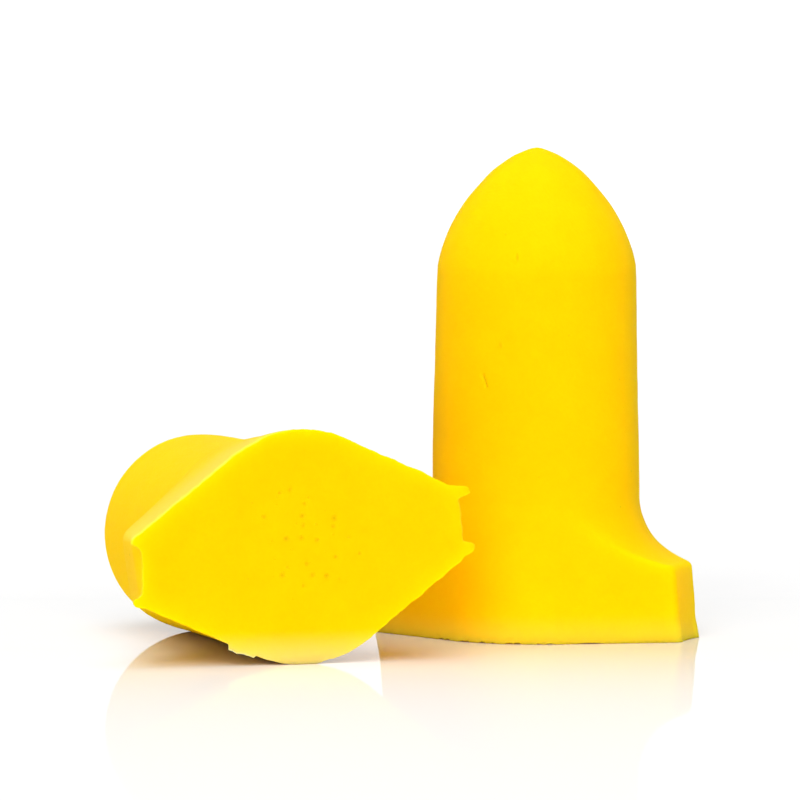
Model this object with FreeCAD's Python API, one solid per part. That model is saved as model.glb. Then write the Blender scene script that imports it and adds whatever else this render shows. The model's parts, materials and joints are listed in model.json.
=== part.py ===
"""A pair of T-shaped foam ear plugs. One stands on its base and the other lies on its side beside it.

Frame: +Z is up, the origin is the centre of the standing plug's base face, and X runs along its wings.
"""

import FreeCAD, Part
import math
import os

# Driving dimensions of one plug, in millimetres and degrees.
PLUG_LENGTH = 26.1         # base face to the tip of the nose
NOSE_LENGTH = 6.3          # tip down to the shoulder, where the shaft begins
NOSE_ARC_RADIUS = 9.15     # side of the bullet-shaped nose
TIP_RADIUS = 1.87          # rounding of the very tip
SHOULDER_RADIUS = 5.33     # shaft at the shoulder, its thinner end
NECK_RADIUS = 5.49         # shaft where the flare begins
NECK_HEIGHT = 7.52         # top of the flare above the base face
FLARE_RADIUS = 3.56        # concave sweep from the shaft out over the wings
BASE_ROUND_RADIUS = 5.88   # round middle of the base outline, at the base face
BASE_HALF_LENGTH = 8.55    # centre of the base to the flat end of a wing
WING_HALF_WIDTH = 1.74     # half the width of a wing's flat end
WING_DRAFT = 5.0           # lean of a wing's flat end towards the shaft
RIM_FILLET = 0.45          # softened edge between the flare and the sides of the base
TRIM_MARGIN = 0.02         # how far the base outline clears the shaft at the neck

# Place of the lying plug: the centre of its base face, and how it is turned.
LYING_X = -5.7
LYING_Y = -19.5
LYING_YAW = 38.1           # heading of its nose, anticlockwise from +Y seen from above
LYING_ROLL = -7.1          # turn about its own axis, which lifts one wing

ORIGIN = FreeCAD.Vector(0, 0, 0)
X_AXIS = FreeCAD.Vector(1, 0, 0)
Z_AXIS = FreeCAD.Vector(0, 0, 1)
OUTPUT_FOLDER = "parts"


def on_section(radius, height):
    """A point of the half section, in the YZ plane, that is turned about Z."""
    return FreeCAD.Vector(0, radius, height)


def around(centre, radius, angle):
    """The point of the half section at an angle, in radians, on a circle about centre."""
    return centre + on_section(radius * math.cos(angle), radius * math.sin(angle))


def direction(start, end):
    """Angle of the line from start to end in the half section, in radians."""
    return math.atan2(end.z - start.z, end.y - start.y)


def line(start, end):
    return Part.LineSegment(start, end).toShape()


def arc(centre, radius, start_angle, end_angle):
    middle_angle = (start_angle + end_angle) / 2
    points = [around(centre, radius, angle) for angle in (start_angle, middle_angle, end_angle)]
    return Part.Arc(*points).toShape()


def nose_arc_centre(shoulder, tip_centre):
    """Centre of the arc that passes through the shoulder and meets the tip's rounding smoothly."""
    to_tip = NOSE_ARC_RADIUS - TIP_RADIUS
    span = (tip_centre - shoulder).Length
    along = (NOSE_ARC_RADIUS ** 2 - to_tip ** 2 + span ** 2) / (2 * span)
    across = math.sqrt(NOSE_ARC_RADIUS ** 2 - along ** 2)
    angle = direction(shoulder, tip_centre) + math.atan2(across, along)
    return around(shoulder, NOSE_ARC_RADIUS, angle)


def turned(edges):
    """The solid made by turning a closed half section about Z."""
    face = Part.Face(Part.Wire(edges))
    return face.revolve(ORIGIN, Z_AXIS, 360)


def shaft_and_nose():
    shoulder = on_section(SHOULDER_RADIUS, PLUG_LENGTH - NOSE_LENGTH)
    neck = on_section(NECK_RADIUS, NECK_HEIGHT)
    tip_centre = on_section(0, PLUG_LENGTH - TIP_RADIUS)
    nose_centre = nose_arc_centre(shoulder, tip_centre)
    shoulder_angle = direction(nose_centre, shoulder)
    tip_angle = direction(nose_centre, tip_centre)
    neck_centre = on_section(0, NECK_HEIGHT)
    return turned([
        line(neck_centre, neck),
        line(neck, shoulder),
        arc(nose_centre, NOSE_ARC_RADIUS, shoulder_angle, tip_angle),
        arc(tip_centre, TIP_RADIUS, tip_angle, math.pi / 2),
        line(on_section(0, PLUG_LENGTH), neck_centre),
    ])


def flared_disc():
    """The round, flared foot of the plug before its outline is trimmed."""
    brim_radius = NECK_RADIUS + FLARE_RADIUS
    brim_height = NECK_HEIGHT - FLARE_RADIUS
    flare_centre = on_section(brim_radius, NECK_HEIGHT)
    neck_centre = on_section(0, NECK_HEIGHT)
    return turned([
        line(ORIGIN, on_section(brim_radius, 0)),
        line(on_section(brim_radius, 0), on_section(brim_radius, brim_height)),
        arc(flare_centre, FLARE_RADIUS, -math.pi / 2, -math.pi),
        line(on_section(NECK_RADIUS, NECK_HEIGHT), neck_centre),
        line(neck_centre, ORIGIN),
    ])


def base_outline(half_length, round_radius, height):
    """Outline of the base at a height: a round middle, drawn out by tangent lines to two flat ends."""
    corner_distance = math.hypot(half_length, WING_HALF_WIDTH)
    corner_angle = math.atan2(WING_HALF_WIDTH, half_length)
    tangent_angle = corner_angle + math.acos(round_radius / corner_distance)
    tangent_x = round_radius * math.cos(tangent_angle)
    tangent_y = round_radius * math.sin(tangent_angle)
    edges = []
    for side in (1, -1):
        right_end = FreeCAD.Vector(side * half_length, side * WING_HALF_WIDTH, height)
        right_tangent = FreeCAD.Vector(side * tangent_x, side * tangent_y, height)
        top = FreeCAD.Vector(0, side * round_radius, height)
        left_tangent = FreeCAD.Vector(-side * tangent_x, side * tangent_y, height)
        left_end = FreeCAD.Vector(-side * half_length, side * WING_HALF_WIDTH, height)
        next_end = FreeCAD.Vector(-side * half_length, -side * WING_HALF_WIDTH, height)
        edges.append(line(right_end, right_tangent))
        edges.append(Part.Arc(right_tangent, top, left_tangent).toShape())
        edges.append(line(left_tangent, left_end))
        edges.append(line(left_end, next_end))
    return Part.Wire(edges)


def base_block():
    """The tapering block whose sides trim the flared foot to the base outline."""
    top_half_length = BASE_HALF_LENGTH - NECK_HEIGHT * math.tan(math.radians(WING_DRAFT))
    foot = base_outline(BASE_HALF_LENGTH, BASE_ROUND_RADIUS, 0)
    top = base_outline(top_half_length, NECK_RADIUS + TRIM_MARGIN, NECK_HEIGHT)
    return Part.makeLoft([foot, top], True, True)


def flare_rim(plug):
    """The edges where the flare meets the sides and the flat ends of the base."""
    lowest = NECK_HEIGHT - FLARE_RADIUS
    highest = NECK_HEIGHT - TRIM_MARGIN
    return [edge for edge in plug.Edges if edge.BoundBox.ZMin > lowest and edge.BoundBox.ZMax < highest]


def make_plug():
    """One plug, standing upright on the origin."""
    foot = flared_disc().common(base_block())
    plug = foot.fuse(shaft_and_nose()).removeSplitter()
    softened = plug.makeFillet(RIM_FILLET, flare_rim(plug))
    return softened.Solids[0]


def lying_place():
    """Lays a plug on its side, so that its base rim and its shoulder both touch the surface."""
    lean = math.atan2(BASE_ROUND_RADIUS - SHOULDER_RADIUS, PLUG_LENGTH - NOSE_LENGTH)
    height = BASE_ROUND_RADIUS * math.cos(lean)
    heading = FreeCAD.Rotation(Z_AXIS, LYING_YAW)
    tip_over = FreeCAD.Rotation(X_AXIS, -90 - math.degrees(lean))
    roll = FreeCAD.Rotation(Z_AXIS, LYING_ROLL)
    return FreeCAD.Placement(FreeCAD.Vector(LYING_X, LYING_Y, height), heading * tip_over * roll)


def main():
    os.makedirs(OUTPUT_FOLDER, exist_ok=True)
    plug = make_plug()
    places = {
        "standing_plug": FreeCAD.Placement(),
        "lying_plug": lying_place(),
    }
    for name, place in places.items():
        solid = plug.transformed(place.toMatrix(), True)
        solid.exportStep(os.path.join(OUTPUT_FOLDER, name + ".step"))
        print(name, "volume", round(solid.Volume, 2), "valid", solid.isValid(), solid.BoundBox)


main()
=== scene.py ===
import json
import math

import bpy
import numpy as np
from mathutils import Matrix, Vector, noise
from mathutils.geometry import delaunay_2d_cdt


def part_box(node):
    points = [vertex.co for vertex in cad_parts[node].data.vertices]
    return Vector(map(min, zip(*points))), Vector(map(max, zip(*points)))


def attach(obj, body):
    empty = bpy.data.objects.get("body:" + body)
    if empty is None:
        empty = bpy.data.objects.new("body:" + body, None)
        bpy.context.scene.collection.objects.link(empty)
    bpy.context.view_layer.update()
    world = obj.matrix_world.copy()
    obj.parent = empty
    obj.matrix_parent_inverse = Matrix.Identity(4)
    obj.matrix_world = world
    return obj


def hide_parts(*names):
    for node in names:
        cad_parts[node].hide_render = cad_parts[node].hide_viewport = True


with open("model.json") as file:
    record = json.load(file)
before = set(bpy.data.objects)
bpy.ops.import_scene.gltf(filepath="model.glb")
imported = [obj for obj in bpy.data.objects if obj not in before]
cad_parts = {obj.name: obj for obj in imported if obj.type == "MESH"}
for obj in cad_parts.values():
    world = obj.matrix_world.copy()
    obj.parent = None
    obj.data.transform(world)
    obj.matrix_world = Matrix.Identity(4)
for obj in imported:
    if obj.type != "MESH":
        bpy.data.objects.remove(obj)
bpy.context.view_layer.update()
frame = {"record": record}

MM = 0.001

# One plug, as in the CAD model. Its overall size is read from the standing plug's box.
PLUG_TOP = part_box("standing_plug")[1] / MM
PLUG_LENGTH = PLUG_TOP.z
HALF_LENGTH = PLUG_TOP.x
ROUND_RADIUS = PLUG_TOP.y
NOSE_LENGTH = 6.3
NOSE_ARC_RADIUS = 9.15
TIP_RADIUS = 1.87
SHOULDER_RADIUS = 5.33
SHOULDER_HEIGHT = PLUG_LENGTH - NOSE_LENGTH
NECK_RADIUS = 5.49
NECK_HEIGHT = 7.52
FLARE_RADIUS = 3.56
BRIM_HEIGHT = NECK_HEIGHT - FLARE_RADIUS
WING_HALF_WIDTH = 1.74
WING_DRAFT = 5.0
TRIM_MARGIN = 0.02
LYING_ROLL = -7.1          # turn of the lying plug about its own axis, in degrees
LYING_UP_ANGLE = -90 - LYING_ROLL    # which side of the lying plug is uppermost, in degrees

# Softness of the moulded shape.
CORNER_RADIUS = 0.65       # upright corners at the ends of the wings
EDGE_RADIUS = 0.06         # rounded edge of the cut base face
SHOULDER_SOFTNESS = 0.5    # height over which the corner between shaft and nose is softened
SHOULDER_LOSS = 0.004      # share of the radius taken off there
NOSE_FULLNESS = (0.075, 1.2, 0.6)    # added radius, how far below the tip, and over what height
TIP_SHARPNESS = (-0.15, 0.12, 0.18)  # the same, for the radius taken off at the very tip
STANDING_RIM_REACH = 0.32  # rounding of the flare's rim, on each side of it
LYING_RIM_REACH = 0.8

# Faint creases gathered at the tip of the nose.
FLUTE_COUNT = 6
FLUTE_SHARE = 0.015        # how deep they are, as a share of the radius
FLUTE_PHASE = 0.6
FLUTE_START = (0.1, 0.9)   # how far below the tip they begin and are full
FLUTE_END = (1.4, 3.2)     # and where they start to fade and are gone

# Unevenness of the foam: how high each kind is and the size of its features.
SKIN_DENT, SKIN_DENT_SIZE = 0.05, 7.0
SKIN_RIPPLE, SKIN_RIPPLE_SIZE = 0.012, 1.2
SKIN_GRAIN, SKIN_GRAIN_SIZE = 0.005, 0.35
CUT_WAVE, CUT_WAVE_SIZE = 0.05, 0.55
CUT_FRAY, CUT_FRAY_SIZE = 0.03, 0.22
CUT_REACH = 0.3            # how far up the sides the uneven cut edge runs
FACE_WAVE, FACE_WAVE_SIZE = 0.014, 1.3
FACE_GRAIN, FACE_GRAIN_SIZE = 0.008, 0.4

# Pores of a cut face.
PORE_DEPTH = 0.06
PORE_FULL_RADIUS = 0.27    # a pore's depth grows with its radius, by 1 over this
PORE_LEAST_DEPTH = 0.3     # share of the depth that the smallest pore has
PORE_SPACING = 0.38        # least distance between the middles of two pores
PORE_LIMIT = 0.7           # pores stay within this share of the face's half length and half width, added up
FAINT_PORES = ((0.3, 0.0), (2.2, 1.6), 0.035, 0.06)     # middle, spread, least and greatest radius
CLEAR_PORES = ((0.2, -0.2), (1.1, 1.2), 0.1, 0.18)

# The lying plug's torn film: where it starts and ends along X, how far it stands out and how thick it is.
FILM_START = -4.35
FILM_END = -2.3
FILM_REACH = 0.3
FILM_THICKNESS = 0.22
SLIGHT_REACH = 0.03        # a film that stands out less than this isn't pale

# Marks of the standing plug. A nick has two ends, as (angle in degrees, height), a half width and a depth.
NICKS = (
    ((-102, 14.1), (-99.6, 13.5), 0.045, 0.1),
    ((-91, 15.7), (-91, 15.6), 0.06, 0.07),
    ((-82, 20.4), (-82, 20.3), 0.06, 0.07),
)
NICK_HEIGHT = 13.8         # rows of the grid crowd here, for the longest nick
NICK_BOOST = 6             # how much closer the rows are there
NICK_COLUMNS = (0.68, 0.06, 5)       # the same for columns, as shares of the round stretch
SWELL, SWELL_HEIGHT, SWELL_REACH = 0.13, 10, 4       # fuller left side of the shaft
WING_GROWTH = 0.07         # how much longer the right wing is above its foot

# Marks of the lying plug.
WAIST_HEIGHT, WAIST_REACH, WAIST_DEPTH = 11.5, 5.5, 0.26
FULLER_REACH = 0.09        # how far the fuller side of the base stands out
FULLER_START = (-2.0, -0.8)          # where it begins and is full along X
FULLER_END = (7.4, 8.2)    # and where it starts to fade and is gone
FULLER_THICKNESS = 2.5     # how far up the side it reaches

# Ears of flash at the corners of a base face: side along X, place along Y, reach, half width and thickness.
STANDING_EARS = [(side, y, 0.12, 0.4, 1.0) for side in (1, -1) for y in (1.45, -1.45)]
LYING_EARS = (
    (1, -1.65, 0.66, 0.31, 0.4),
    (1, 1.31, 0.52, 0.32, 0.4),
    (-1, 1.53, 0.44, 0.27, 0.4),
    (-1, -1.6, 0.14, 0.25, 0.8),
)

# Hollows in the wings' ends between the ears: side, depths at the -Y and +Y sides, half width and thickness.
LYING_RECESSES = (
    (1, (-0.05, -0.01), 1.1, 0.6),
    (-1, (0.4, 0.09), 1.25, 0.6),
)

# Gaps under the front of the standing plug's rim.
GAP_REACH = 0.35           # how far the gaps run in
GAP_ROW = (-4.0, 2.6)      # where the row of small gaps starts and ends along X
LONG_GAP = (4.4, 0.55, 0.06)         # the longer gap's place along X, half width and height

# Painted light: the foam is paler where a plug meets the surface, as if lit by the white surface.
PAINTED_GROUND_LIGHT = {"standing_plug_foam": 0.15, "lying_plug_foam": 1.0}
PAINTED_GROUND_LIGHT_LOW = 0.1      # fully pale up to this height above the surface
PAINTED_GROUND_LIGHT_HIGH = 1.75    # and not pale from here on
WALL_PAINTED_SHEEN = 0.03       # painted sheen: paler foam on the wings' flat ends
WALL_SHEEN_TOP = (3.5, 4.1)           # where it starts to fade and is gone
UPPER_LEFT_PAINTED_SHEEN = 0.37           # painted sheen: paler foam on the lying plug's upper left side, next to its face

# Grid of the moulded skin. Columns are counted in one quarter of the outline.
FLAT_COLUMNS = 26
CORNER_COLUMNS = 10
SLANT_COLUMNS = 54
ROUND_COLUMNS = 36
NOSE_ROWS = 40
SHAFT_ROWS = 58
FLARE_ROWS = 18
RIM_ROWS = 8
WALL_ROWS = 28
EDGE_ROWS = 4
FACE_SPACING = 0.24        # distance between points of the cut base face
FACE_JITTER = 0.03         # how far those points stray
FACE_INSET = 0.25          # how far they stay from the edge
PORE_CLEARANCE = 2.2       # and from a pore's middle, in radii of the pore
PORE_RINGS = (0.35, 0.7, 1.05, 1.6)  # rings of points round a pore, in its radii
RING_POINTS = 12

# Camera and light, in the row frame.
VIEW_AZIMUTH = 20.9
VIEW_ELEVATION = 2.57
VIEW_DISTANCE = 0.264
VIEW_TARGET = Vector((-0.006833, -0.002609, 0.012593))
VIEW_LENS = 221.9
SENSOR_WIDTH = 36.0
BACKDROP_STRENGTH = 1.2    # the white backdrop, as seen and as mirrored
FILL_STRENGTH = 0.05       # the same backdrop, as it lights the foam and the surface
LIGHT_SPREAD = 45.0        # angle that each soft light covers, in degrees

# Soft lights: name, azimuth from the camera's, elevation and strength on a surface that faces it.
LIGHTS = (
    ("front", -2, 20, 0.79),
    ("key", -12, 50, 0.49),
    ("top", 0, 88, 0.45),
    ("low", -115, 5, 0.12),
)

# White surface. Its mirror gloss is full in a band that runs back from its centre, and fades outside it.
GLOSS_BAND = 30.0
GLOSS_HALF_DEPTH = 16.0    # distance from the band where the gloss is halved
GLOSS_FADE_POWER = 1.45
FLOOR_COLOUR = (0.9, 0.9, 0.9)
FLOOR_ROUGHNESS = 0.03
FLOOR_IOR = 1.45
FLOOR_HALF_SIZE = 1.5      # in metres
FLOOR_CENTRE = (-0.0040, -0.0100, 0)

# Foam: colours as (r, g, b), and the sizes of its features.
FOAM_COLOUR, FOAM_COLOUR_2 = (0.90, 0.49, 0.0004), (0.91, 0.51, 0.0007)
SPECKLE_COLOUR = (0.89, 0.465, 0.0003)
# Painted shade: pinholes, pores and nicks are coloured towards this dark colour, as if shade falls in them.
HOLE_SHADE_COLOUR = (0.15, 0.32, 0.005)
# Colour of the pale torn film, and of painted sheen and painted light near the white surface.
PALE_COLOUR = (0.91, 0.56, 0.11)
CLOUD_SIZE = 2.6
GRAIN_SIZE = 0.16
CELL_SIZE = 1.1
HOLE_EDGES = (0.03, 0.075)           # where a pinhole starts and stops to fade, as shares of a cell
HOLE_THRESHOLD = 0.72                # cells with a higher random value have a pinhole
# How far pinholes, and the pits of nicks and pores, are darkened: painted shade.
PINHOLE_SHADE_DARKNESS = 0.3
PIT_SHADE_DARKNESS = 0.45
SPECKLE_SHARE = 0.3        # how strongly the grains tint the foam
PINHOLE_DROP = 1.5         # depth of a pinhole, in heights of a grain
FOAM_ROUGHNESS = (0.6, 0.75)         # in the hollows and on the tops of the grains
BUMP_STRENGTH = 0.35
BUMP_HEIGHT = 0.02
FOAM_IOR = 1.45
FOAM_SPECULAR = 0.02
FOAM_SPECULAR_TINT = (1.0, 0.75, 0.1)
SCATTER_RADIUS = (1.0, 0.9, 0.3)
SCATTER_SCALE = 2.5


# ---------------------------------------------------------------- shape of one plug

def bunched(start, stop, count, focus, width, boost):
    """Values from start to stop, as many as count, closer together near the focus."""
    fine = np.linspace(start, stop, 2000)
    density = 1 + boost * np.exp(-((fine - focus) / width) ** 2)
    travelled = np.concatenate([[0], np.cumsum((density[1:] + density[:-1]) / 2)])
    return np.interp(np.linspace(0, travelled[-1], count), travelled, fine)


def smooth_step(value, start, stop):
    t = np.clip((value - start) / (stop - start), 0, 1)
    return t * t * (3 - 2 * t)


def make_columns():
    """The stretch of the outline, the share along it and the signs of X and Y for each column of the grid.

    The stretches are 0 for a flat end, 1 for its corner, 2 for a slanted side and 3 for the round middle.
    """
    stretches, shares = [], []
    counts = (FLAT_COLUMNS, CORNER_COLUMNS, SLANT_COLUMNS, ROUND_COLUMNS)
    for stretch, count in enumerate(counts):
        share = np.linspace(0, 1, count + 1)
        if stretch == 3:
            share = bunched(0, 1, count + 1, *NICK_COLUMNS)
        stretches += [stretch] * count
        shares += list(share[:-1])
    stretches.append(3)
    shares.append(1.0)
    quarter = np.arange(len(shares))
    order, sign_x, sign_y = [], [], []
    onward, back = quarter[:-1], quarter[:0:-1]
    for x, y, index in ((1, 1, onward), (-1, 1, back), (-1, -1, onward), (1, -1, back)):
        order += list(index)
        sign_x += [x] * len(index)
        sign_y += [y] * len(index)
    order = np.array(order)
    return np.array(stretches)[order], np.array(shares)[order], np.array(sign_x), np.array(sign_y)


COLUMNS = make_columns()
COLUMN_COUNT = len(COLUMNS[0])


def outline(height):
    """Points of the base outline at the heights given for each column: a round middle and two flat ends."""
    stretch, share, sign_x, sign_y = COLUMNS
    half_length = HALF_LENGTH - math.tan(math.radians(WING_DRAFT)) * height
    radius = ROUND_RADIUS + (NECK_RADIUS + TRIM_MARGIN - ROUND_RADIUS) * height / NECK_HEIGHT
    corner_distance = np.hypot(half_length, WING_HALF_WIDTH)
    turn = np.arctan2(WING_HALF_WIDTH, half_length) + np.arccos(radius / corner_distance)
    flat_top = WING_HALF_WIDTH - CORNER_RADIUS * np.tan(turn / 2)
    corner_x = half_length - CORNER_RADIUS
    slant_x = corner_x + CORNER_RADIUS * np.cos(turn)
    slant_y = flat_top + CORNER_RADIUS * np.sin(turn)
    tangent_x, tangent_y = radius * np.cos(turn), radius * np.sin(turn)
    round_angle = turn + share * (math.pi / 2 - turn)
    cases = [np.broadcast_to(stretch == number, height.shape) for number in range(3)]
    corner_turned_x = corner_x + CORNER_RADIUS * np.cos(share * turn)
    corner_turned_y = flat_top + CORNER_RADIUS * np.sin(share * turn)
    along_slant_x = slant_x + share * (tangent_x - slant_x)
    along_slant_y = slant_y + share * (tangent_y - slant_y)
    x = np.select(cases, [half_length, corner_turned_x, along_slant_x], radius * np.cos(round_angle))
    y = np.select(cases, [share * flat_top, corner_turned_y, along_slant_y], radius * np.sin(round_angle))
    return x * sign_x, y * sign_y


def flare_radius(height):
    """Radius of the concave sweep from the shaft over the wings."""
    drop = np.clip(NECK_HEIGHT - height, 0, FLARE_RADIUS)
    return NECK_RADIUS + FLARE_RADIUS - np.sqrt(FLARE_RADIUS ** 2 - drop ** 2)


def meeting_height():
    """Height, in each column, where the flare meets the side of the base."""
    low = np.full((1, COLUMN_COUNT), BRIM_HEIGHT)
    high = np.full((1, COLUMN_COUNT), NECK_HEIGHT)
    for _ in range(40):
        middle = (low + high) / 2
        outside = flare_radius(middle) > np.hypot(*outline(middle))
        low = np.where(outside, middle, low)
        high = np.where(outside, high, middle)
    return (low + high) / 2


def nose_centre():
    """Centre of the nose's side arc, which meets the tip's rounding smoothly, as (radius, height)."""
    shoulder = np.array([SHOULDER_RADIUS, SHOULDER_HEIGHT])
    tip = np.array([0, PLUG_LENGTH - TIP_RADIUS])
    to_tip = NOSE_ARC_RADIUS - TIP_RADIUS
    span = np.linalg.norm(tip - shoulder)
    along = (NOSE_ARC_RADIUS ** 2 - to_tip ** 2 + span ** 2) / (2 * span)
    across = math.sqrt(NOSE_ARC_RADIUS ** 2 - along ** 2)
    ahead = (tip - shoulder) / span
    sideways = np.array([-ahead[1], ahead[0]])
    return shoulder + ahead * along + sideways * across


def nose_rows():
    """Radius and height of the rows from just under the tip's pole down to the shoulder."""
    centre = nose_centre()
    tip = np.array([0, PLUG_LENGTH - TIP_RADIUS])
    joint_angle = math.atan2(tip[1] - centre[1], tip[0] - centre[0])
    shoulder_angle = math.atan2(SHOULDER_HEIGHT - centre[1], SHOULDER_RADIUS - centre[0])
    tip_count = NOSE_ROWS // 4
    tip_angles = np.linspace(math.pi / 2, joint_angle, tip_count + 1)[1:]
    side_angles = np.linspace(joint_angle, shoulder_angle, NOSE_ROWS - tip_count + 1)[1:]
    radii, heights = [], []
    arcs = ((tip, TIP_RADIUS, tip_angles), (centre, NOSE_ARC_RADIUS, side_angles))
    for middle, arc_radius, angles in arcs:
        radii.append(middle[0] + arc_radius * np.cos(angles))
        heights.append(middle[1] + arc_radius * np.sin(angles))
    return np.concatenate(radii), np.concatenate(heights)


def shaft_rows(focus, boost):
    """Radius and height of the rows from below the shoulder to the neck."""
    height = bunched(SHOULDER_HEIGHT, NECK_HEIGHT, SHAFT_ROWS + 1, focus, 0.45, boost)[1:]
    share = (height - NECK_HEIGHT) / (SHOULDER_HEIGHT - NECK_HEIGHT)
    return NECK_RADIUS + (SHOULDER_RADIUS - NECK_RADIUS) * share, height


def skin_grid(focus, boost, rim_reach):
    """Points of the moulded skin, from the tip down to the edge of the base face: (rows, columns, 3).

    Rows of the shaft crowd round the focus height. The flare's rim is rounded over rim_reach on each side.
    """
    meet = meeting_height()
    neck_x, neck_y = outline(np.full((1, COLUMN_COUNT), NECK_HEIGHT))
    neck_angle = np.arctan2(neck_y, neck_x)
    radii, heights, angles = [], [], []
    for radius, height in (nose_rows(), shaft_rows(focus, boost)):
        radii.append(np.repeat(radius[:, None], COLUMN_COUNT, 1))
        heights.append(np.repeat(height[:, None], COLUMN_COUNT, 1))
        angles.append(np.repeat(neck_angle, len(radius), 0))

    # The flare is followed by its arc angle, and stops short of the side so that the rim can be rounded.
    sweep = np.arcsin((NECK_HEIGHT - meet) / FLARE_RADIUS)
    reach = np.minimum(rim_reach, 0.45 * sweep * FLARE_RADIUS)
    last = sweep - reach / FLARE_RADIUS
    turned = last * np.linspace(0, 1, FLARE_ROWS + 1)[1:, None]
    radii.append(NECK_RADIUS + FLARE_RADIUS * (1 - np.cos(turned)))
    heights.append(NECK_HEIGHT - FLARE_RADIUS * np.sin(turned))

    # The rim is a curve that bends from the flare to the side.
    wall_top = meet - reach
    t = np.linspace(0, 1, RIM_ROWS + 1)[1:, None]
    flare_end = (radii[-1][-1:], heights[-1][-1:])
    corner = (flare_radius(meet), meet)
    wall_start = (np.hypot(*outline(wall_top)), wall_top)
    for values, start, middle, end in zip((radii, heights), flare_end, corner, wall_start):
        values.append((1 - t) ** 2 * start + 2 * t * (1 - t) * middle + t * t * end)

    # The side runs down to the rounded edge of the base face.
    down = np.linspace(0, 1, WALL_ROWS + 1)[1:, None] ** 0.8
    wall_height = wall_top + (EDGE_RADIUS - wall_top) * down
    heights.append(wall_height)
    radii.append(np.hypot(*outline(wall_height)))
    roll = np.linspace(0, math.pi / 2, EDGE_ROWS + 1)[1:, None]
    edge_height = np.repeat(EDGE_RADIUS * (1 - np.sin(roll)), COLUMN_COUNT, 1)
    heights.append(edge_height)
    radii.append(np.hypot(*outline(edge_height)) - EDGE_RADIUS * (1 - np.cos(roll)))

    for height in heights[2:]:
        x, y = outline(height)
        angles.append(np.arctan2(y, x))
    radius, height, angle = np.concatenate(radii), np.concatenate(heights), np.concatenate(angles)
    return np.stack([radius * np.cos(angle), radius * np.sin(angle), height], -1)


def outward(grid):
    """Unit normals of a grid of points, pointing out of the plug."""
    across = np.roll(grid, -1, 1) - np.roll(grid, 1, 1)
    down = np.gradient(grid, axis=0)
    normal = np.cross(down, across)
    return normal / np.maximum(np.linalg.norm(normal, axis=-1, keepdims=True), 1e-9)


def bumps(points, size, seed):
    """Smooth noise from about -1 to 1 at each point, with features of a size in millimetres."""
    shift = Vector((seed * 7.3, seed * 3.1, seed * 5.7))
    flat = points.reshape(-1, 3)
    values = [noise.noise(Vector(p) / size + shift) for p in flat.tolist()]
    return np.array(values).reshape(points.shape[:-1])


def shape_nose(grid):
    """Makes the tip a little more pointed and the nose a little fuller just below it."""
    below = PLUG_LENGTH - grid[..., 2]
    change = np.zeros(below.shape)
    for amount, depth, reach in (NOSE_FULLNESS, TIP_SHARPNESS):
        change += amount * np.exp(-((below - depth) / reach) ** 2)
    radius = np.maximum(np.hypot(grid[..., 0], grid[..., 1]), 0.2)
    grid[..., :2] *= (1 + change / radius)[..., None]


def soften_shoulder(grid):
    """Rounds the slight corner between the shaft and the nose."""
    height = grid[..., 2]
    near = np.exp(-((height - SHOULDER_HEIGHT) / SHOULDER_SOFTNESS) ** 2)
    grid[..., :2] *= (1 - SHOULDER_LOSS * near)[..., None]


# ---------------------------------------------------------------- marks, pale film and painted light of each plug

def cut_edge(grid, seed):
    """Makes the cut edge of the base uneven."""
    height = grid[..., 2]
    near = np.exp(-(height / CUT_REACH) ** 2)
    ragged = CUT_WAVE * bumps(grid, CUT_WAVE_SIZE, seed) + CUT_FRAY * bumps(grid, CUT_FRAY_SIZE, seed + 1)
    direction = grid[..., :2] / np.maximum(np.linalg.norm(grid[..., :2], axis=-1, keepdims=True), 1e-9)
    grid[..., :2] += direction * (near * ragged)[..., None]


def flash_ear(grid, side, y, reach, half_width, thickness):
    """Draws out a blunt ear of flash from a corner of the base face. Side is 1 or -1 along X."""
    across = np.exp(-np.abs((grid[..., 1] - y) / half_width) ** 5)
    window = across * np.exp(-(grid[..., 2] / thickness) ** 3) * (grid[..., 0] * side > 0)
    uneven = 1 + 0.3 * bumps(grid, 0.3, 41)
    grid[..., 0] += side * reach * window * uneven


def end_recess(grid, side, depths, half_width, thickness):
    """Sinks the middle of a wing's end next to the base face. The depths are at its -Y and +Y sides."""
    across = np.exp(-np.abs(grid[..., 1] / half_width) ** 8)
    window = across * np.exp(-(grid[..., 2] / thickness) ** 3) * (grid[..., 0] * side > 0)
    share = (grid[..., 1] / half_width + 1) / 2
    grid[..., 0] -= side * (depths[0] + (depths[1] - depths[0]) * share) * window


def push_out(grid, reach, thickness, sharpness):
    """Moves the sides of the base outward next to its face, by a reach for each column.

    Returns how much each point moved, as a share of the reach, where the reach is more than slight.
    """
    window = np.exp(-(grid[..., 2] / thickness) ** sharpness)
    along = np.roll(grid[-1, :, :2], -1, 0) - np.roll(grid[-1, :, :2], 1, 0)
    out = np.column_stack([along[:, 1], -along[:, 0]]) / np.linalg.norm(along, axis=1, keepdims=True)
    grid[..., :2] += (window * reach)[..., None] * out
    return window * (reach > SLIGHT_REACH)


def torn_film(grid):
    """Draws a thin torn film out of one slanted edge of the base face. It reaches least at its end."""
    stretch, _, sign_x, sign_y = COLUMNS
    place = grid[-1, :, 0]
    edge = (stretch == 2) * (sign_x < 0) * (sign_y > 0) * smooth_step(place, FILM_START, FILM_START + 0.1)
    share = np.clip((place - FILM_START) / (FILM_END - FILM_START), 0, 1)
    ragged = 1 + 0.5 * bumps(grid[-1], 0.3, 51)
    return push_out(grid, edge * FILM_REACH * (1 - share ** 1.3) * ragged, FILM_THICKNESS, 4)


def fuller_side(grid):
    """Makes the base a little fuller along one side."""
    place = grid[-1, :, 0]
    share = smooth_step(place, *FULLER_START) * (1 - smooth_step(place, *FULLER_END)) * (COLUMNS[3] < 0)
    push_out(grid, FULLER_REACH * share, FULLER_THICKNESS, 2)


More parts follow.
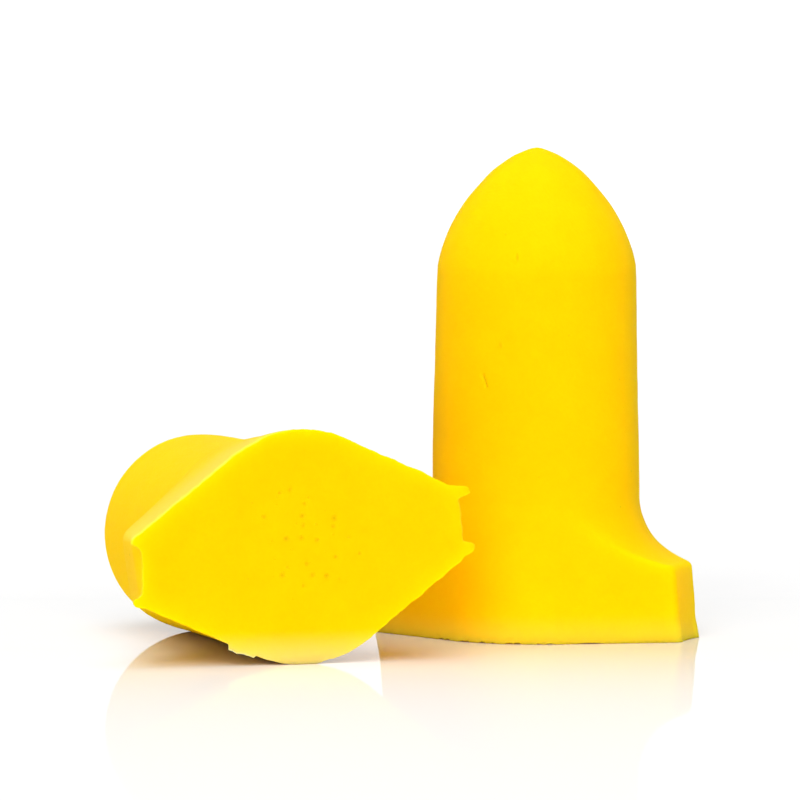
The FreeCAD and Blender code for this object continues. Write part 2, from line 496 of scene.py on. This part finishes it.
def nick(grid, normal, shade_in_pits, top, bottom, width, depth):
    """Scores a short cut into the shaft between two places, each an angle in degrees and a height."""
    angle = np.degrees(np.arctan2(grid[..., 1], grid[..., 0]))
    arc = math.radians(1) * NECK_RADIUS
    point = np.stack([angle * arc, grid[..., 2]], -1)
    a, b = np.array([top[0] * arc, top[1]]), np.array([bottom[0] * arc, bottom[1]])
    along = np.clip(((point - a) @ (b - a)) / ((b - a) @ (b - a)), 0, 1)
    distance = np.linalg.norm(point - a - along[..., None] * (b - a), axis=-1)
    cut = np.exp(-(distance / width) ** 2)
    grid -= normal * (depth * cut)[..., None]
    # The cut also marks where shade is painted into the nick.
    shade_in_pits[:] = np.maximum(shade_in_pits, cut)


def at_same_angle(points, ring, values):
    """Each of the values, given along the ring, at the angles of the points."""
    ring_angle = np.arctan2(ring[:, 1], ring[:, 0])
    order = np.argsort(ring_angle)
    angle = np.arctan2(points[:, 1], points[:, 0])
    return [np.interp(angle, ring_angle[order], value[order], period=2 * math.pi) for value in values]


def face_points(ring, pores, seed):
    """Points inside the base face.

    They are a loose triangular lattice, rings of closer points round each pore, and two rows by the edge.
    """
    points = []
    row_step = FACE_SPACING * math.sqrt(3) / 2
    rng = np.random.default_rng(seed)
    limit = np.abs(ring).max(0)
    for j, y in enumerate(np.arange(-limit[1], limit[1], row_step)):
        for x in np.arange(-limit[0] + (j % 2) * FACE_SPACING / 2, limit[0], FACE_SPACING):
            points.append((x, y))
    points = np.array(points) + rng.uniform(-FACE_JITTER, FACE_JITTER, (len(points), 2))
    edge = at_same_angle(points, ring, [np.linalg.norm(ring, axis=1)])[0]
    points = points[np.linalg.norm(points, axis=1) < edge - FACE_INSET]
    for x, y, size in pores:
        points = points[np.hypot(points[:, 0] - x, points[:, 1] - y) > size * PORE_CLEARANCE]
    extra = []
    for x, y, size in pores:
        extra.append((x, y))
        for ring_share in PORE_RINGS:
            for k in range(RING_POINTS):
                angle = (k + ring_share) * math.pi / (RING_POINTS / 2)
                reach = size * ring_share
                extra.append((x + reach * math.cos(angle), y + reach * math.sin(angle)))
    away = ring / np.linalg.norm(ring, axis=1, keepdims=True)
    rows = [ring[::step] - inset * away[::step] for inset, step in ((0.04, 1), (0.12, 2))]
    return np.concatenate([points, np.array(extra), *rows])


def face_relief(points, ring, pores, seed):
    """Height of the cut face above its plane and how deep in a pore each point is."""
    flat = np.column_stack([points, np.zeros(len(points))])
    relief = FACE_WAVE * bumps(flat, FACE_WAVE_SIZE, seed)
    relief += FACE_GRAIN * bumps(flat, FACE_GRAIN_SIZE, seed + 1)
    edge, lift = at_same_angle(points, ring, (np.hypot(ring[:, 0], ring[:, 1]), ring[:, 2]))
    relief += lift * np.exp(-((edge - np.linalg.norm(points, axis=1)) / GAP_REACH) ** 2)
    depth = np.zeros(len(points))
    for x, y, size in pores:
        distance = np.hypot(points[:, 0] - x, points[:, 1] - y)
        deepest = PORE_LEAST_DEPTH + size / PORE_FULL_RADIUS
        depth = np.maximum(depth, np.exp(-(distance / (size * 0.75)) ** 2) * deepest)
    # The pore depth also marks where shade is painted into the pores.
    return relief + PORE_DEPTH * depth, np.clip(depth, 0, 1)


def scattered_pores(count, middle, spread, smallest, largest, seed):
    """Pores of a cut face, each as (x, y, radius), thickest near a middle."""
    rng = np.random.default_rng(seed)
    pores = []
    while len(pores) < count:
        x, y = rng.normal(middle, spread)
        size = rng.uniform(smallest, largest)
        inside = abs(x) / HALF_LENGTH + abs(y) / ROUND_RADIUS < PORE_LIMIT
        if inside and all(math.hypot(x - a, y - b) > PORE_SPACING for a, b, _ in pores):
            pores.append((x, y, size))
    return pores


def build_mesh(name, grid, ring_points, relief, shade_in_pores, shade_in_pits, film_and_painted_light, face_painted_light, place):
    """One closed mesh: a pole at the tip, the skin grid, and the triangulated base face."""
    rows, columns = grid.shape[:2]
    tip = np.array([[grid[0, :, 0].mean(), grid[0, :, 1].mean(), PLUG_LENGTH]])
    skin = grid.reshape(-1, 3)
    ring = grid[-1, :, :2]
    flat = [Vector(p) for p in np.concatenate([ring, ring_points]).tolist()]
    boundary = [list(range(columns))]
    _, _, triangles, sources, _, _ = delaunay_2d_cdt(flat, [], boundary, 1, 1e-6)
    first_skin = 1
    last_ring = first_skin + (rows - 1) * columns
    first_inner = first_skin + rows * columns
    index = [last_ring + s[0] if s[0] < columns else first_inner + s[0] - columns for s in sources]
    inner = np.column_stack([ring_points, relief])
    vertices = np.concatenate([tip, skin, inner])
    vertices = vertices @ np.array(place.to_3x3()).T * MM + np.array(place.translation)
    vertices[:, 2] = np.maximum(vertices[:, 2], 0)
    faces = [(0, first_skin + k, first_skin + (k + 1) % columns) for k in range(columns)]
    for r in range(rows - 1):
        start = first_skin + r * columns
        for k in range(columns):
            n = (k + 1) % columns
            faces.append((start + k, start + columns + k, start + columns + n, start + n))
    faces += [tuple(index[v] for v in reversed(t)) for t in triangles]
    mesh = bpy.data.meshes.new(name)
    mesh.from_pydata(vertices.tolist(), [], faces)
    mesh.validate()
    # Attributes for the material: where shade is painted into pits, and where the foam is paler for painted
    # light and for the torn film.
    for key, skin_value, inner_value in (("shade_in_pits", shade_in_pits, shade_in_pores), ("film_and_painted_light", film_and_painted_light, face_painted_light)):
        values = np.concatenate([[0], skin_value.reshape(-1), inner_value]).astype(np.float32)
        mesh.attributes.new(key, "FLOAT", "POINT").data.foreach_set("value", values)
    mesh.shade_smooth()
    piece = bpy.data.objects.new(name, mesh)
    bpy.context.scene.collection.objects.link(piece)
    return piece


def natural_skin(grid, seed):
    """Adds the slow dents and the fine unevenness of moulded foam. Returns the skin's normals before it."""
    normal = outward(grid)
    away = smooth_step(grid[..., 2], 0.0, 0.8)
    relief = SKIN_DENT * bumps(grid, SKIN_DENT_SIZE, seed) * away
    relief += SKIN_RIPPLE * bumps(grid, SKIN_RIPPLE_SIZE, seed + 1)
    relief += SKIN_GRAIN * bumps(grid, SKIN_GRAIN_SIZE, seed + 2)
    grid += normal * relief[..., None]
    return normal


def waist(grid):
    """Narrows the uppermost side of the lying plug's shaft."""
    turn = np.arctan2(grid[..., 1], grid[..., 0]) - math.radians(LYING_UP_ANGLE)
    facing = np.clip(np.cos(turn), 0, 1) ** 2
    near = np.exp(-((grid[..., 2] - WAIST_HEIGHT) / WAIST_REACH) ** 2)
    grid[..., :2] *= (1 - WAIST_DEPTH / NECK_RADIUS * facing * near)[..., None]


def rim_gaps(grid, count, seed):
    """Lifts the front of the base's rim off the surface in a row of small gaps and one longer one."""
    rng = np.random.default_rng(seed)
    places = np.linspace(*GAP_ROW, count) + rng.uniform(-0.25, 0.25, count)
    gaps = list(zip(places, rng.uniform(0.08, 0.2, count), rng.uniform(0.06, 0.09, count)))
    front = (grid[..., 1] < 0) * (1 - smooth_step(grid[..., 2], 0.05, 0.25))
    for x, half_width, height in gaps + [LONG_GAP]:
        grid[..., 2] += height * front * np.exp(-np.abs((grid[..., 0] - x) / half_width) ** 4)


def flutes(grid):
    """Faint creases round the tip, where the mould gathers the foam."""
    angle = np.arctan2(grid[..., 1], grid[..., 0])
    below = PLUG_LENGTH - grid[..., 2]
    window = smooth_step(below, *FLUTE_START) * (1 - smooth_step(below, *FLUTE_END))
    grid[..., :2] *= (1 + FLUTE_SHARE * np.cos(FLUTE_COUNT * angle + FLUTE_PHASE) * window)[..., None]


def wall_painted_sheen(grid):
    """Painted sheen: paler foam on the flat ends of the wings."""
    return WALL_PAINTED_SHEEN * (COLUMNS[0] == 0) * (1 - smooth_step(grid[..., 2], *WALL_SHEEN_TOP))


def finish_plug(name, grid, pores, shade_in_pits, film_and_painted_light, place, seed):
    """Closes a plug with its base face and makes it an object.

    Foam near the surface that the plug rests on is paler: painted light from that surface.
    """
    inner = face_points(grid[-1, :, :2], pores, seed)
    relief, shade_in_pores = face_relief(inner, grid[-1], pores, seed + 20)
    face = np.column_stack([inner, relief])
    turn, shift = np.array(place.to_3x3()), np.array(place.translation) / MM
    skin_height = (grid @ turn.T + shift)[..., 2]
    face_height = (face @ turn.T + shift)[..., 2]
    # Painted light from the white surface: the skin and the face are paler near it.
    ground_light_skin = PAINTED_GROUND_LIGHT[name] * (1 - smooth_step(skin_height, PAINTED_GROUND_LIGHT_LOW, PAINTED_GROUND_LIGHT_HIGH))
    ground_light_skin *= 1 - smooth_step(grid[..., 2], 0.8, 2.5)
    film_and_painted_light = np.clip(np.maximum(film_and_painted_light, ground_light_skin), 0, 1)
    face_painted_light = PAINTED_GROUND_LIGHT[name] * (1 - smooth_step(face_height, PAINTED_GROUND_LIGHT_LOW, PAINTED_GROUND_LIGHT_HIGH))
    return build_mesh(name, grid, inner, relief, shade_in_pores, shade_in_pits, film_and_painted_light, face_painted_light, place)


def standing_plug(place):
    grid = skin_grid(NICK_HEIGHT, NICK_BOOST, STANDING_RIM_REACH)
    shape_nose(grid)
    soften_shoulder(grid)
    flutes(grid)
    normal = natural_skin(grid, 11)
    shade_in_pits, film_and_painted_light = np.zeros(grid.shape[:2]), wall_painted_sheen(grid)
    for mark in NICKS:
        nick(grid, normal, shade_in_pits, *mark)

    # The left side of the shaft swells a little.
    swell = SWELL * np.exp(-((grid[..., 2] - SWELL_HEIGHT) / SWELL_REACH) ** 2)
    grid[..., 0] -= swell * smooth_step(-grid[..., 0], 0, NECK_RADIUS)

    # The right wing is a little longer above its foot.
    grid[..., 0] += WING_GROWTH * smooth_step(grid[..., 0], 6.0, 7.5) * smooth_step(grid[..., 2], 0.8, 2.0)
    cut_edge(grid, 5)
    for ear in STANDING_EARS:
        flash_ear(grid, *ear)
    rim_gaps(grid, 10, 4)
    pores = scattered_pores(24, *FAINT_PORES, 3)
    return finish_plug("standing_plug_foam", grid, pores, shade_in_pits, film_and_painted_light, place, 1)


def lying_plug(place):
    grid = skin_grid(NICK_HEIGHT, 0, LYING_RIM_REACH)
    shape_nose(grid)
    soften_shoulder(grid)
    flutes(grid)
    natural_skin(grid, 17)
    waist(grid)
    shade_in_pits, film_and_painted_light = np.zeros(grid.shape[:2]), wall_painted_sheen(grid)
    # Painted sheen: the upper left side next to the face, lit at a grazing angle, is paler.
    upper_left_sheen = smooth_step(-grid[..., 1], 1.2, 1.9) * smooth_step(-grid[..., 0], -0.5, 1.5)
    near_face = 1 - smooth_step(grid[..., 2], 0.5, 6.0)
    film_and_painted_light = np.maximum(film_and_painted_light, UPPER_LEFT_PAINTED_SHEEN * upper_left_sheen * near_face)
    fuller_side(grid)
    cut_edge(grid, 15)
    for recess in LYING_RECESSES:
        end_recess(grid, *recess)
    film_and_painted_light = np.maximum(film_and_painted_light, torn_film(grid))
    for ear in LYING_EARS:
        flash_ear(grid, *ear)
    pores = scattered_pores(20, *CLEAR_PORES, 8) + scattered_pores(16, *FAINT_PORES, 9)
    return finish_plug("lying_plug_foam", grid, pores, shade_in_pits, film_and_painted_light, place, 2)


def standing_place():
    return Matrix.Identity(4)


def lying_place():
    """Where the lying plug's base face is and how the plug is turned, from its mount."""
    mount = next(m for m in frame["record"]["mounts"] if m["name"] == "lying_base")
    roll = math.radians(LYING_ROLL)
    nose = -Vector(mount["axis"])
    heading = math.atan2(-nose.x, nose.y)
    lean = math.asin(-nose.z)
    tip_over = Matrix.Rotation(-math.pi / 2 - lean, 4, "X")
    turn = Matrix.Rotation(heading, 4, "Z") @ tip_over @ Matrix.Rotation(roll, 4, "Z")
    return Matrix.Translation(mount["pos_m"]) @ turn


# ---------------------------------------------------------------- materials

def new_material(name):
    material = bpy.data.materials.new(name)
    material.use_nodes = True
    tree = material.node_tree
    tree.nodes.clear()
    output = tree.nodes.new("ShaderNodeOutputMaterial")
    return material, tree, output


def add_noise(tree, coordinates, size, detail):
    node = tree.nodes.new("ShaderNodeTexNoise")
    node.inputs["Scale"].default_value = 1 / (size * MM)
    node.inputs["Detail"].default_value = detail
    tree.links.new(coordinates, node.inputs["Vector"])
    return node.outputs["Fac"]


def add_range(tree, value, low, high, to_low, to_high, smooth=False):
    node = tree.nodes.new("ShaderNodeMapRange")
    if smooth:
        node.interpolation_type = "SMOOTHSTEP"
    for key, number in (("From Min", low), ("From Max", high), ("To Min", to_low), ("To Max", to_high)):
        node.inputs[key].default_value = number
    tree.links.new(value, node.inputs["Value"])
    return node.outputs["Result"]


def add_math(tree, operation, a, b):
    node = tree.nodes.new("ShaderNodeMath")
    node.operation = operation
    for socket, value in zip(node.inputs, (a, b)):
        if isinstance(value, (int, float)):
            socket.default_value = value
        else:
            tree.links.new(value, socket)
    return node.outputs["Value"]


def add_mix(tree, factor, a, b):
    """Mixes two colours. Each is a socket or an (r, g, b)."""
    node = tree.nodes.new("ShaderNodeMix")
    node.data_type = "RGBA"
    tree.links.new(factor, node.inputs["Factor"])
    for socket, value in ((node.inputs[6], a), (node.inputs[7], b)):
        if isinstance(value, tuple):
            socket.default_value = (*value, 1)
        else:
            tree.links.new(value, socket)
    return node.outputs[2]


def add_attribute(tree, name):
    node = tree.nodes.new("ShaderNodeAttribute")
    node.attribute_name = name
    return node.outputs["Fac"]


def foam_material():
    """Soft yellow polyurethane foam: mottled colour, a fine cell texture and scattered pinholes, with
    painted shade in pits and paler painted sheen and light.
    """
    material, tree, output = new_material("yellow_foam_looks")
    shader = tree.nodes.new("ShaderNodeBsdfPrincipled")
    tree.links.new(shader.outputs["BSDF"], output.inputs["Surface"])
    place = tree.nodes.new("ShaderNodeTexCoord").outputs["Object"]

    clouds = add_range(tree, add_noise(tree, place, CLOUD_SIZE, 3), 0.3, 0.7, 0, 1)
    grains = add_noise(tree, place, GRAIN_SIZE, 2)
    colour = add_mix(tree, clouds, FOAM_COLOUR, FOAM_COLOUR_2)
    speckle = add_range(tree, grains, 0.35, 0.65, 0, SPECKLE_SHARE)
    colour = add_mix(tree, speckle, colour, SPECKLE_COLOUR)

    cells = tree.nodes.new("ShaderNodeTexVoronoi")
    cells.inputs["Scale"].default_value = 1 / (CELL_SIZE * MM)
    tree.links.new(place, cells.inputs["Vector"])
    hole = add_range(tree, cells.outputs["Distance"], *HOLE_EDGES, 1, 0, smooth=True)
    split = tree.nodes.new("ShaderNodeSeparateColor")
    tree.links.new(cells.outputs["Color"], split.inputs["Color"])
    chosen = add_math(tree, "GREATER_THAN", split.outputs["Red"], HOLE_THRESHOLD)
    pinhole = add_math(tree, "MULTIPLY", hole, chosen)

    # Painted shade: pinholes, and the pits of nicks and pores, are darkened.
    painted_hole_shade = add_math(tree, "MULTIPLY", pinhole, PINHOLE_SHADE_DARKNESS)
    painted_pit_shade = add_math(tree, "MULTIPLY", add_attribute(tree, "shade_in_pits"), PIT_SHADE_DARKNESS)
    colour = add_mix(tree, add_math(tree, "MAXIMUM", painted_hole_shade, painted_pit_shade), colour, HOLE_SHADE_COLOUR)
    # Paler foam: the torn film, painted sheen, and painted light from the white surface.
    colour = add_mix(tree, add_attribute(tree, "film_and_painted_light"), colour, PALE_COLOUR)
    tree.links.new(colour, shader.inputs["Base Color"])

    roughness = add_range(tree, grains, 0.3, 0.7, *FOAM_ROUGHNESS)
    tree.links.new(roughness, shader.inputs["Roughness"])
    height = add_math(tree, "SUBTRACT", grains, add_math(tree, "MULTIPLY", pinhole, PINHOLE_DROP))
    bump = tree.nodes.new("ShaderNodeBump")
    bump.inputs["Strength"].default_value = BUMP_STRENGTH
    bump.inputs["Distance"].default_value = BUMP_HEIGHT * MM
    tree.links.new(height, bump.inputs["Height"])
    tree.links.new(bump.outputs["Normal"], shader.inputs["Normal"])

    shader.inputs["IOR"].default_value = FOAM_IOR
    shader.inputs["Specular IOR Level"].default_value = FOAM_SPECULAR
    shader.inputs["Specular Tint"].default_value = (*FOAM_SPECULAR_TINT, 1)
    shader.inputs["Subsurface Weight"].default_value = 1.0
    shader.inputs["Subsurface Radius"].default_value = SCATTER_RADIUS
    shader.inputs["Subsurface Scale"].default_value = SCATTER_SCALE * MM
    return material


def floor_material():
    """White acrylic: a matt white body under a gloss that shows mostly near the plugs."""
    material, tree, output = new_material("white_surface")
    body = tree.nodes.new("ShaderNodeBsdfDiffuse")
    body.inputs["Color"].default_value = (*FLOOR_COLOUR, 1)
    gloss = tree.nodes.new("ShaderNodeBsdfGlossy")
    gloss.inputs["Roughness"].default_value = FLOOR_ROUGHNESS
    fresnel = tree.nodes.new("ShaderNodeFresnel")
    fresnel.inputs["IOR"].default_value = FLOOR_IOR
    place = tree.nodes.new("ShaderNodeTexCoord").outputs["Object"]
    split = tree.nodes.new("ShaderNodeSeparateXYZ")
    tree.links.new(place, split.inputs["Vector"])
    in_front = add_math(tree, "MULTIPLY", split.outputs["Y"], -1)
    behind = add_math(tree, "SUBTRACT", split.outputs["Y"], GLOSS_BAND * MM)
    outside = add_math(tree, "MAXIMUM", add_math(tree, "MAXIMUM", in_front, behind), 0)
    depth = add_math(tree, "DIVIDE", outside, GLOSS_HALF_DEPTH * MM)
    fall = add_math(tree, "ADD", add_math(tree, "POWER", depth, GLOSS_FADE_POWER), 1)
    fade = add_math(tree, "DIVIDE", 1, fall)
    factor = add_math(tree, "MULTIPLY", fade, fresnel.outputs["Fac"])
    mix = tree.nodes.new("ShaderNodeMixShader")
    tree.links.new(factor, mix.inputs["Fac"])
    tree.links.new(body.outputs["BSDF"], mix.inputs[1])
    tree.links.new(gloss.outputs["BSDF"], mix.inputs[2])
    tree.links.new(mix.outputs["Shader"], output.inputs["Surface"])
    return material


# ---------------------------------------------------------------- stage

def add_floor():
    """A wide white surface, centred between the plugs."""
    half = FLOOR_HALF_SIZE
    corners = [(-half, -half, 0), (half, -half, 0), (half, half, 0), (-half, half, 0)]
    mesh = bpy.data.meshes.new("floor")
    mesh.from_pydata(corners, [], [(0, 1, 2, 3)])
    mesh.materials.append(floor_material())
    floor = bpy.data.objects.new("floor", mesh)
    floor.location = FLOOR_CENTRE
    floor.rotation_euler.z = math.radians(VIEW_AZIMUTH)
    bpy.context.scene.collection.objects.link(floor)


def add_light(name, azimuth, elevation, strength):
    """A soft, distant light. Its azimuth, from the camera's, and its elevation are in degrees."""
    light = bpy.data.lights.new(name, "SUN")
    light.energy = strength * math.pi
    light.angle = math.radians(LIGHT_SPREAD)
    lamp = bpy.data.objects.new(name, light)
    lamp.rotation_euler = (math.radians(90 - elevation), 0, math.radians(VIEW_AZIMUTH + azimuth))
    bpy.context.scene.collection.objects.link(lamp)


def add_world():
    world = bpy.data.worlds.new("studio")
    world.use_nodes = True
    tree = world.node_tree
    background = tree.nodes["Background"]
    background.inputs["Color"].default_value = (1, 1, 1, 1)
    path = tree.nodes.new("ShaderNodeLightPath")
    strength = add_range(tree, path.outputs["Is Diffuse Ray"], 0, 1, BACKDROP_STRENGTH, FILL_STRENGTH)
    tree.links.new(strength, background.inputs["Strength"])
    bpy.context.scene.world = world


def add_camera():
    camera = bpy.data.cameras.new("camera")
    camera.lens = VIEW_LENS
    camera.sensor_width = SENSOR_WIDTH
    camera.clip_start = 0.01
    camera.clip_end = 10
    azimuth, elevation = math.radians(VIEW_AZIMUTH), math.radians(VIEW_ELEVATION)
    level = math.cos(elevation)
    towards = Vector((math.sin(azimuth) * level, -math.cos(azimuth) * level, math.sin(elevation)))
    holder = bpy.data.objects.new("camera", camera)
    holder.location = VIEW_TARGET + towards * VIEW_DISTANCE
    holder.rotation_euler = (math.pi / 2 - elevation, 0, azimuth)
    bpy.context.scene.collection.objects.link(holder)
    bpy.context.scene.camera = holder


def main():
    add_camera()
    add_world()
    add_floor()
    for light in LIGHTS:
        add_light(*light)
    bpy.context.scene.view_settings.view_transform = "Standard"

    foam = foam_material()
    pieces = (
        (standing_plug(standing_place()), "standing_plug"),
        (lying_plug(lying_place()), "lying_plug"),
    )
    for piece, node in pieces:
        piece.data.materials.append(foam)
        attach(piece, node)
        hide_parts(node)


main()
